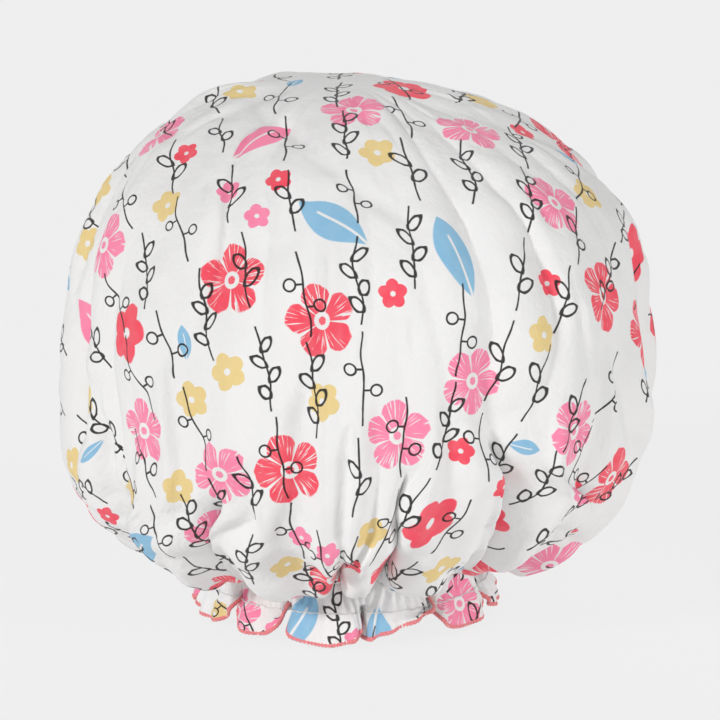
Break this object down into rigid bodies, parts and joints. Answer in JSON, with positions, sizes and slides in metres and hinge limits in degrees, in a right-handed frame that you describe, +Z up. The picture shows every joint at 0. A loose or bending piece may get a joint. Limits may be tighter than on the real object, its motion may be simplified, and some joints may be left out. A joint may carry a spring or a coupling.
{
  "type": "shower cap",
  "caption": "Gathered, lined shower cap with a full rounded crown, an elasticated casing and a ruffled, overlocked hem.",
  "frame": {"origin": "on the floor under the middle of the cap, which stands on the hem of its ruffle", "axes": "+Z up along the cap's axis to the top of the crown, the front of the picture faces -Y, +X to its right"},
  "size_m": [0.2393, 0.239, 0.219],
  "materials": {
    "printed_cotton": "plain-woven cotton with a small scattered print",
    "frosted_film": "thin frosted waterproof film",
    "woven_elastic": "narrow woven elastic",
    "white_thread": "spun sewing thread",
    "coral_thread": "overlocked edge in coral thread"
  },
  "bodies": {
    "root": {"outer_fabric": "printed_cotton", "waterproof_lining": "frosted_film", "elastic_band": "woven_elastic", "elastic_join_stitch": "white_thread", "upper_row_needle_thread": "white_thread", "upper_row_bobbin_thread": "white_thread", "lower_row_needle_thread": "white_thread", "lower_row_bobbin_thread": "white_thread", "hem_overlock_edging": "coral_thread"}
  },
  "joints": []
}
